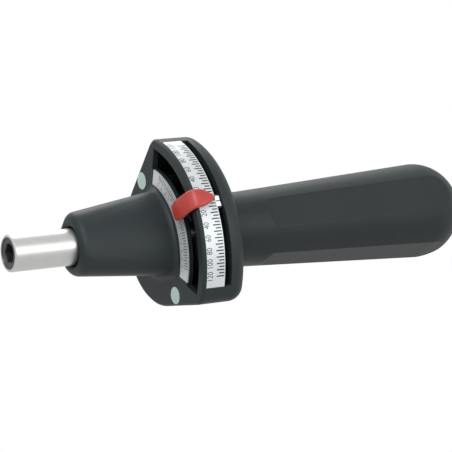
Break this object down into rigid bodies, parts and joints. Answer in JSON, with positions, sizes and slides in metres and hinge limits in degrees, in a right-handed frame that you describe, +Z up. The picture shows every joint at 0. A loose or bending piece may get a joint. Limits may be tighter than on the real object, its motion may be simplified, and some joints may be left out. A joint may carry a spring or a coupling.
{
  "type": "torque screwdriver",
  "caption": "Hand torque screwdriver: hexagon bit socket on a turning spindle, window head with two arc scales, index flag, red drag pointer and a long tapered grip.",
  "frame": {"origin": "mouth of the hexagon bit socket, on the spindle axis", "axes": "+X along the spindle towards the end of the handle, +Z up with one flat side of the head facing down, so the window faces -Y and a little up"},
  "size_m": [0.1874, 0.0566, 0.0594],
  "materials": {
    "housing_plastic": "fine-textured moulded plastic",
    "handle_plastic": "fine-textured moulded plastic",
    "scale_white": "printed satin aluminium",
    "screw_zinc": "zinc-plated",
    "sleeve_nickel": "satin nickel",
    "socket_black": "blackened steel",
    "magnet": "nickel-plated",
    "spring_steel": "spring steel",
    "gear_brass": "cut brass",
    "bush_bronze": "sintered bronze",
    "index_black": "moulded plastic with white mark",
    "pointer_red": "moulded plastic"
  },
  "bodies": {
    "housing": {"front_housing": "housing_plastic", "rear_housing": "housing_plastic", "handle_grip": "handle_plastic", "housing_screw_left": "screw_zinc", "housing_screw_right": "screw_zinc", "front_scale": "scale_white", "rear_scale": "scale_white", "front_bush": "bush_bronze", "rear_bush": "bush_bronze", "index_pivot_pin": "spring_steel", "torsion_bar": "spring_steel", "torsion_anchor": "spring_steel"},
    "spindle": {"drive_sleeve": "sleeve_nickel", "hex_socket": "socket_black", "bit_magnet": "magnet", "bit_clip": "spring_steel", "spindle_shaft": "spring_steel", "retaining_ring": "spring_steel", "thrust_washer": "bush_bronze", "drive_gear": "gear_brass"},
    "index": {"index_pinion": "gear_brass", "index_lever": "spring_steel", "index_flag": "index_black"},
    "drag_pointer": {"drag_pointer": "pointer_red", "pointer_spring": "spring_steel"}
  },
  "joints": [
    {"name": "spindle_turn", "type": "hinge", "parent": "housing", "child": "spindle", "pos_m": [0.04, 0, 0], "axis": [1, 0, 0], "range_deg": [-18.5, 18.5]},
    {"name": "index_swing", "type": "hinge", "parent": "housing", "child": "index", "pos_m": [0.07, 0.01008, -0.00387], "axis": [1, 0, 0], "range_deg": [-37, 37]},
    {"name": "pointer_drag", "type": "hinge", "parent": "housing", "child": "drag_pointer", "pos_m": [0.062, 0.01008, -0.00387], "axis": [1, 0, 0], "range_deg": [-34, 36]}
  ],
  "couplings": [
    {"joint": "index_swing", "follows": "spindle_turn", "ratio": -2}
  ]
}
